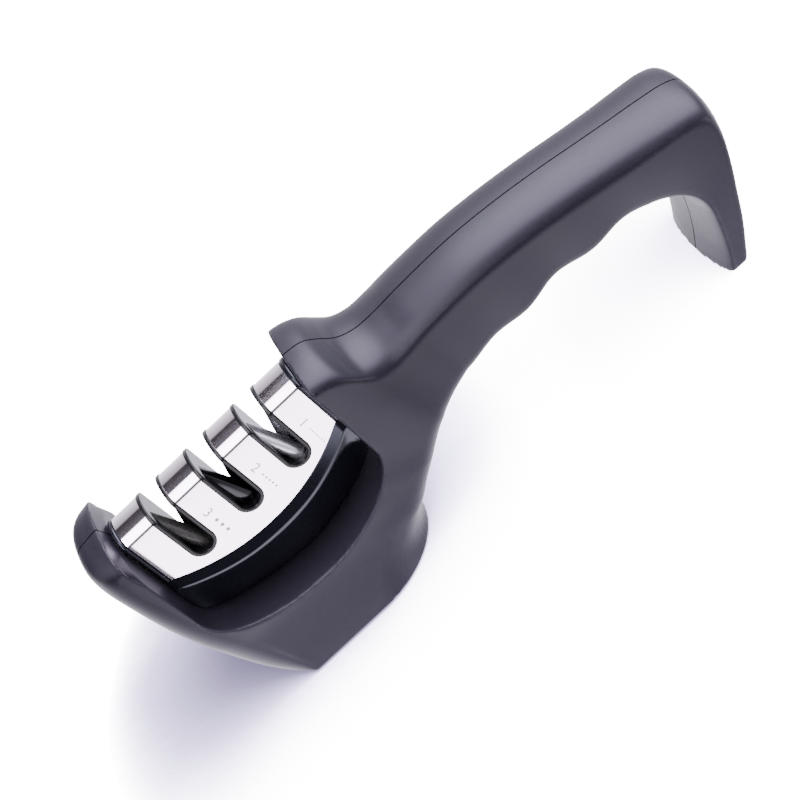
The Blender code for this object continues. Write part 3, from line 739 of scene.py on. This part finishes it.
# ---------------------------------------------------------------- shader node helpers
def ramp(tree, source, rows, low, high):
    """Colour ramp through (place, brightness) rows, for a source that runs from low to high."""
    made = tree.nodes.new("ShaderNodeValToRGB")
    change = tree.nodes.new("ShaderNodeMapRange")
    change.inputs["From Min"].default_value = low
    change.inputs["From Max"].default_value = high
    tree.links.new(source, change.inputs["Value"])
    tree.links.new(change.outputs["Result"], made.inputs["Fac"])
    points = made.color_ramp.elements
    while len(points) < len(rows):
        points.new(0.5)
    for point, (place, brightness) in zip(points, rows):
        point.position = (place - low) / (high - low)
        point.color = (brightness, brightness, brightness, 1.0)
    return made.outputs["Color"]


def math_node(tree, operation, *sources):
    """Scalar maths on sockets or numbers."""
    made = tree.nodes.new("ShaderNodeMath")
    made.operation = operation
    for place, source in enumerate(sources):
        if isinstance(source, bpy.types.NodeSocket):
            tree.links.new(source, made.inputs[place])
        else:
            made.inputs[place].default_value = source
    return made.outputs["Value"]


def vector_node(tree, operation, *sources):
    """Vector maths on sockets, vectors or numbers."""
    made = tree.nodes.new("ShaderNodeVectorMath")
    made.operation = operation
    places = (0, 3) if operation == "SCALE" else (0, 1)
    for place, source in zip(places, sources):
        if isinstance(source, bpy.types.NodeSocket):
            tree.links.new(source, made.inputs[place])
        else:
            made.inputs[place].default_value = source
    return made.outputs["Value" if operation == "DOT_PRODUCT" else "Vector"]


# ---------------------------------------------------------------- materials
SATIN_COLOUR = (0.0080, 0.0071, 0.0112)
# Lighter satin colour painted low on the body: painted light from below
SATIN_PAINTED_LIGHT_COLOUR = (0.027, 0.0245, 0.034)


class Surface:
    """A Principled material with helpers for procedural detail in object space."""

    def __init__(self, name, colour, roughness, metallic=0.0, specular=0.5):
        self.material = bpy.data.materials.new(name)
        self.material.use_nodes = True
        self.tree = self.material.node_tree
        self.shader = self.tree.nodes["Principled BSDF"]
        self.set("Base Color", (*colour, 1.0))
        self.set("Roughness", roughness)
        self.set("Metallic", metallic)
        self.set("Specular IOR Level", specular)

    def set(self, socket, value):
        """Set a shader input."""
        self.shader.inputs[socket].default_value = value

    def node(self, kind, **inputs):
        """Add a node with input values."""
        made = self.tree.nodes.new(kind)
        for key, value in inputs.items():
            made.inputs[key.replace("_", " ")].default_value = value
        return made

    def wire(self, source, target):
        """Link two sockets."""
        self.tree.links.new(source, target)

    def noise(self, scale, detail=4.0, stretch_by=(1, 1, 1)):
        """Noise in object space; scale is in features per metre."""
        coordinates = self.tree.nodes.new("ShaderNodeTexCoord")
        mapping = self.node("ShaderNodeMapping")
        mapping.inputs["Scale"].default_value = stretch_by
        noise = self.node("ShaderNodeTexNoise", Scale=scale, Detail=detail)
        self.wire(coordinates.outputs["Object"], mapping.inputs["Vector"])
        self.wire(mapping.outputs["Vector"], noise.inputs["Vector"])
        return noise

    def remap(self, source, low, high):
        """Spread a noise's middle range between two values."""
        change = self.node("ShaderNodeMapRange", From_Min=0.3, From_Max=0.7, To_Min=low, To_Max=high)
        self.wire(source, change.inputs["Value"])
        return change.outputs["Result"]

    def vary_roughness(self, scale, low, high, stretch_by=(1, 1, 1)):
        """Uneven roughness."""
        self.wire(self.remap(self.noise(scale, 3.0, stretch_by).outputs["Fac"], low, high),
                  self.shader.inputs["Roughness"])

    def vary_colour(self, scale, first, second, stretch_by=(1, 1, 1)):
        """Uneven colour."""
        blend = self.tree.nodes.new("ShaderNodeValToRGB")
        blend.color_ramp.elements[0].color = (*first, 1.0)
        blend.color_ramp.elements[1].color = (*second, 1.0)
        blend.color_ramp.elements[0].position = 0.35
        blend.color_ramp.elements[1].position = 0.65
        self.wire(self.noise(scale, 4.0, stretch_by).outputs["Fac"], blend.inputs["Fac"])
        self.wire(blend.outputs["Color"], self.shader.inputs["Base Color"])

    def colour_by_height(self, low, painted_light_colour, high, high_colour):
        """Base colour painted lighter towards the bottom as painted light, changing between two heights, in
        millimetres.

        In hollows it is the high one all the way down, as painted shade.
        """
        coordinates = self.tree.nodes.new("ShaderNodeTexCoord")
        place = self.tree.nodes.new("ShaderNodeSeparateXYZ")
        rise = self.node("ShaderNodeMapRange", From_Min=low * MM, From_Max=high * MM)
        # Painted shade: hollows keep the darker high colour all the way down
        openness = self.node("ShaderNodeAmbientOcclusion", Distance=PAINTED_SHADE_REACH * MM)
        blend = self.tree.nodes.new("ShaderNodeValToRGB")
        blend.color_ramp.elements[0].color = (*painted_light_colour, 1.0)
        blend.color_ramp.elements[1].color = (*high_colour, 1.0)
        self.wire(coordinates.outputs["Object"], place.inputs["Vector"])
        self.wire(place.outputs["Z"], rise.inputs["Value"])
        nearness = math_node(self.tree, "SUBTRACT", 1.0, rise.outputs["Result"])
        open_part = math_node(self.tree, "POWER", openness.outputs["AO"], 3.0)
        painted_light_share = math_node(self.tree, "MULTIPLY", nearness, open_part)
        self.wire(math_node(self.tree, "SUBTRACT", 1.0, painted_light_share), blend.inputs["Fac"])
        self.wire(blend.outputs["Color"], self.shader.inputs["Base Color"])

    def roughen(self, scale, depth, detail=4.0, stretch_by=(1, 1, 1)):
        """Fine relief; depth is in millimetres."""
        bump = self.node("ShaderNodeBump", Strength=1.0, Distance=depth * MM)
        self.wire(self.noise(scale, detail, stretch_by).outputs["Fac"], bump.inputs["Height"])
        self.wire(bump.outputs["Normal"], self.shader.inputs["Normal"])


def make_surfaces():
    """All the finishes."""
    satin = Surface("satin_black_plastic", SATIN_COLOUR, 0.36, specular=0.25)
    # Painted light and shade: the satin is painted lighter towards the foot and kept dark in hollows
    satin.colour_by_height(12.0, SATIN_PAINTED_LIGHT_COLOUR, 50.0, SATIN_COLOUR)
    satin.set("Specular Tint", (0.90, 0.87, 1.0, 1.0))
    satin.vary_roughness(900.0, 0.34, 0.38)
    satin.roughen(5200.0, 0.0012, 2.0)
    gloss = Surface("glossy_black_plastic", (0.003, 0.003, 0.005), 0.10, specular=0.32)
    gloss.set("Specular Tint", (0.80, 0.84, 1.0, 1.0))
    gloss.vary_roughness(700.0, 0.09, 0.12)
    lip = Surface("moulded_black_lip", (0.004, 0.004, 0.005), 0.22, specular=0.22)
    lip.roughen(4200.0, 0.003, 3.0)
    steel = Surface("polished_stainless", (0.88, 0.80, 0.89), 0.08, metallic=1.0)
    steel.vary_roughness(350.0, 0.07, 0.095, (0.15, 1, 6))
    etched = Surface("etched_stainless", (0.44, 0.41, 0.43), 0.5, metallic=1.0)
    etched.vary_roughness(3000.0, 0.45, 0.6)
    rubber = Surface("foot_rubber", (0.012, 0.012, 0.012), 0.75, specular=0.3)
    rubber.roughen(2500.0, 0.02)
    ceramic = Surface("grey_ceramic", (0.05, 0.048, 0.044), 0.42, specular=0.4)
    ceramic.vary_colour(2600.0, (0.006, 0.006, 0.0055), (0.035, 0.033, 0.030))
    ceramic.roughen(3200.0, 0.02)
    carbide = Surface("ground_carbide", (0.02, 0.02, 0.022), 0.12, metallic=0.9)
    carbide.vary_roughness(900.0, 0.09, 0.16, (1, 1, 8))
    diamond = Surface("diamond_grit_steel", (0.50, 0.49, 0.53), 0.30, metallic=0.85)
    diamond.vary_colour(4200.0, (0.46, 0.45, 0.49), (0.56, 0.55, 0.59))
    diamond.roughen(5200.0, 0.006)
    screw = Surface("screw_steel_plain", (0.42, 0.42, 0.44), 0.32, metallic=1.0)
    screw.vary_roughness(1500.0, 0.26, 0.38)
    made = {"satin": satin, "gloss": gloss, "lip": lip, "steel": steel, "etched": etched, "rubber": rubber,
            "ceramic": ceramic, "carbide": carbide, "diamond": diamond, "screw": screw}
    return {name: surface.material for name, surface in made.items()}


# ---------------------------------------------------------------- studio
CAMERA_PLACE = (0.04237, -0.42806, 0.36740)
CAMERA_AZIMUTH = math.radians(7.16)
CAMERA_ELEVATION = math.radians(37.79)
CAMERA_ROLL = math.radians(-47.53)
CAMERA_LENS = 89.54
FLOOR_GLOW = 17.0
FLOOR_LIGHT = (0.70, -0.65, 0.45)           # where the floor's light mostly comes from
FLOOR_REACH = 0.055                         # how near a thing has to be to shade the floor
FLOOR_FADE = ((-0.06, 1.0), (0.01, 0.12))   # x and strength of the shadow, at two places
# Floor's colour by how open it is to that light: openness, colour
FLOOR_SHADES = (
    (0.40, (0.014, 0.0125, 0.021)), (0.65, (0.028, 0.025, 0.041)), (0.85, (0.10, 0.09, 0.145)),
    (0.94, (0.30, 0.28, 0.42)), (0.99, (1.0, 1.0, 1.0)),
)
ROOM_TINT = (0.985, 0.95, 1.08)
PANEL_TINT = (1.0, 0.955, 1.03)


def make_camera():
    """Camera that looks down over the near side, rolled so that the tool stands on its nose."""
    back = Vector((math.sin(CAMERA_AZIMUTH) * math.cos(CAMERA_ELEVATION),
                   -math.cos(CAMERA_AZIMUTH) * math.cos(CAMERA_ELEVATION), math.sin(CAMERA_ELEVATION)))
    level = Vector((math.cos(CAMERA_AZIMUTH), math.sin(CAMERA_AZIMUTH), 0.0))
    upward = back.cross(level)
    right = level * math.cos(CAMERA_ROLL) + upward * math.sin(CAMERA_ROLL)
    up = upward * math.cos(CAMERA_ROLL) - level * math.sin(CAMERA_ROLL)
    camera = link(bpy.data.objects.new("camera", bpy.data.cameras.new("camera")))
    camera.matrix_world = Matrix.Translation(CAMERA_PLACE) @ Matrix((right, up, back)).transposed().to_4x4()
    camera.data.lens = CAMERA_LENS
    camera.data.clip_start = 0.01
    bpy.context.scene.camera = camera


def floor_mesh():
    """Mesh of a floor that rises into a backdrop on all sides and closes overhead."""
    rings = [(radius, 0.0) for radius in (0.02, 0.1, 0.3, 0.8, 1.6)]
    rings += [(1.6 + 1.4 * math.sin(a), 1.4 * (1 - math.cos(a))) for a in stretch(0.1, math.pi / 2, 10)]
    rings += [(3.0, 2.5), (2.0, 3.6), (0.5, 4.0)]
    sides = 64
    points, faces = [], []
    for radius, height in rings:
        for i in range(sides):
            angle = 2 * math.pi * i / sides
            points.append((radius * math.cos(angle), radius * math.sin(angle), height))
    for k in range(len(rings) - 1):
        for i in range(sides):
            j = (i + 1) % sides
            faces.append((k * sides + i, (k + 1) * sides + i, (k + 1) * sides + j, k * sides + j))
    faces.append(tuple(range(sides)))
    faces.append(tuple(range(len(points) - sides, len(points))))
    mesh = bpy.data.meshes.new("studio_floor")
    mesh.from_pydata(points, [], faces)
    mesh.shade_smooth()
    return mesh


def floor_openness(tree):
    """How open a place on the floor is to the light, with less shadow towards the handle."""
    occlusion = tree.nodes.new("ShaderNodeAmbientOcclusion")
    occlusion.samples = 24
    occlusion.inputs["Distance"].default_value = FLOOR_REACH
    toward = tree.nodes.new("ShaderNodeCombineXYZ")
    for socket, value in zip(toward.inputs, FLOOR_LIGHT):
        socket.default_value = value
    tree.links.new(toward.outputs["Vector"], occlusion.inputs["Normal"])
    place = tree.nodes.new("ShaderNodeSeparateXYZ")
    tree.links.new(tree.nodes.new("ShaderNodeTexCoord").outputs["Object"], place.inputs["Vector"])
    fade = tree.nodes.new("ShaderNodeMapRange")
    (start, strong), (end, weak) = FLOOR_FADE
    fade.inputs["From Min"].default_value = start
    fade.inputs["From Max"].default_value = end
    fade.inputs["To Min"].default_value = strong
    fade.inputs["To Max"].default_value = weak
    tree.links.new(place.outputs["X"], fade.inputs["Value"])
    closed = math_node(tree, "SUBTRACT", 1.0, occlusion.outputs["AO"])
    closed = math_node(tree, "MULTIPLY", closed, fade.outputs["Result"])
    return math_node(tree, "SUBTRACT", 1.0, closed)


def floor_surface():
    """Glowing white that darkens to lavender where the object shades it."""
    surface = bpy.data.materials.new("studio_white")
    surface.use_nodes = True
    tree = surface.node_tree
    tree.nodes.clear()
    tint = tree.nodes.new("ShaderNodeValToRGB")
    while len(tint.color_ramp.elements) < len(FLOOR_SHADES):
        tint.color_ramp.elements.new(1.0)
    for element, (openness, colour) in zip(tint.color_ramp.elements, FLOOR_SHADES):
        element.position = openness
        element.color = (*colour, 1.0)
    glow = tree.nodes.new("ShaderNodeEmission")
    glow.inputs["Strength"].default_value = FLOOR_GLOW
    output = tree.nodes.new("ShaderNodeOutputMaterial")
    tree.links.new(floor_openness(tree), tint.inputs["Fac"])
    tree.links.new(tint.outputs["Color"], glow.inputs["Color"])
    tree.links.new(glow.outputs["Emission"], output.inputs["Surface"])
    return surface


def make_floor():
    """Pale floor and backdrop that only the camera sees."""
    mesh = floor_mesh()
    mesh.materials.append(floor_surface())
    floor = link(bpy.data.objects.new("studio_floor", mesh))
    floor.visible_diffuse = False
    floor.visible_glossy = False
    floor.visible_transmission = False
    floor.visible_shadow = False


# Studio light by direction.  A direction's turn is its angle round X, in degrees from straight up:
# positive in front of the object (-Y), negative behind it.
# General brightness: turn, brightness
ROOM = (
    (-180.0, 2.5), (-150.0, 2.4), (-136.0, 3.2), (-118.0, 3.0), (-100.0, 1.6), (-70.0, 1.0),
    (-54.0, 0.8), (-30.0, 1.7), (0.0, 2.3), (30.0, 1.6), (56.0, 0.35), (80.0, 0.04), (104.0, 0.1),
    (125.0, 1.4), (155.0, 2.2), (180.0, 2.5),
)
# Soft boxes and, with a negative strength, dark flags: turn, x, half angle, softness, strength
PATCHES = (
    (-22.0, 0.40, 25.0, 18.0, 12.5),
    (-66.0, -0.60, 22.0, 16.0, -0.8),
    (100.0, 0.72, 14.0, 12.0, 4.2),
    (104.0, -0.43, 7.0, 8.0, 8.0),
)
# Panel of crisp strips, seen in the polished cover: turn, brightness
PANEL = (
    (-180.0, 3.0), (-126.0, 3.6), (-104.0, 2.8), (-60.0, 1.0), (-49.0, 0.68), (-46.0, 0.45),
    (-43.0, 0.05), (-34.0, 0.07), (-20.0, 0.12), (-4.0, 0.17), (0.0, 10.0), (20.0, 12.0),
    (70.0, 12.0), (76.0, 8.0), (81.0, 0.24), (119.0, 0.22), (122.0, 7.2), (140.0, 7.2), (180.0, 3.0),
)
# How much of the panel there is at a direction's x
PANEL_SPAN = ((-0.325, 0.0), (-0.285, 1.0), (-0.115, 1.0), (-0.075, 0.0))


def patch(tree, direction, turn, x, half, soft):
    """Soft round spot, from 0 to 1, about the direction with a turn and an x."""
    across = math.sqrt(1 - x * x)
    turn = math.radians(turn)
    aim = Vector((x, -across * math.sin(turn), across * math.cos(turn)))
    spot = tree.nodes.new("ShaderNodeMapRange")
    spot.interpolation_type = "SMOOTHSTEP"
    spot.inputs["From Min"].default_value = math.cos(math.radians(half + soft))
    spot.inputs["From Max"].default_value = math.cos(math.radians(half - soft))
    tree.links.new(vector_node(tree, "DOT_PRODUCT", direction, aim), spot.inputs["Value"])
    return spot.outputs["Result"]


def room_light(tree, direction, turn):
    """General light with its soft boxes and flags."""
    total = ramp(tree, turn, ROOM, -180.0, 180.0)
    for turn_to, x_to, half, soft, strength in PATCHES:
        spot = math_node(tree, "MULTIPLY", patch(tree, direction, turn_to, x_to, half, soft), strength)
        total = vector_node(tree, "ADD", total, vector_node(tree, "SCALE", (1.0, 1.0, 1.0), spot))
    return vector_node(tree, "MULTIPLY", total, ROOM_TINT)


def make_world():
    """Studio light round the object."""
    world = bpy.data.worlds.new("studio")
    bpy.context.scene.world = world
    world.use_nodes = True
    tree = world.node_tree
    tree.nodes.clear()
    direction = tree.nodes.new("ShaderNodeTexCoord").outputs["Generated"]
    parts = tree.nodes.new("ShaderNodeSeparateXYZ")
    tree.links.new(direction, parts.inputs["Vector"])
    x, y, z = parts.outputs
    turn = math_node(tree, "ARCTAN2", math_node(tree, "MULTIPLY", y, -1.0), z)
    turn = math_node(tree, "MULTIPLY", turn, 180.0 / math.pi)
    room = room_light(tree, direction, turn)
    panel = vector_node(tree, "MULTIPLY", ramp(tree, turn, PANEL, -180.0, 180.0), PANEL_TINT)
    mix = tree.nodes.new("ShaderNodeMix")
    mix.data_type = "VECTOR"
    tree.links.new(ramp(tree, x, PANEL_SPAN, -1.0, 1.0), mix.inputs["Factor"])
    first, second = [socket for socket in mix.inputs if socket.type == "VECTOR"][-2:]
    tree.links.new(room, first)
    tree.links.new(panel, second)
    mixed = next(socket for socket in mix.outputs if socket.type == "VECTOR")
    background = tree.nodes.new("ShaderNodeBackground")
    output = tree.nodes.new("ShaderNodeOutputWorld")
    tree.links.new(mixed, background.inputs["Color"])
    tree.links.new(background.outputs["Background"], output.inputs["Surface"])


# ---------------------------------------------------------------- assembly
def make_pieces():
    """Every visible piece of the object."""
    looks = make_surfaces()
    make_shell("shell_left", -1, looks["satin"])
    make_shell("shell_right", 1, looks["satin"])
    make_pad(looks["rubber"])
    for label in SHELL_SCREWS:
        make_shell_screw(label, looks["screw"])
    make_cover(looks["steel"])
    make_frame(looks["gloss"])
    make_tray(looks["gloss"])
    make_marks(looks["etched"])
    for index, x in enumerate(SLOT_X):
        make_liner(index, x, looks["lip"])
        kind = looks[SLOT_BARS[index]]
        make_bar(index, x, "near", -1, kind)
        make_bar(index, x, "far", 1, kind)
    for name in ("tray_screw_1", "tray_screw_2"):
        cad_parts[name].data.materials.clear()
        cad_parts[name].data.materials.append(looks["screw"])


make_camera()
make_floor()
make_world()
make_pieces()
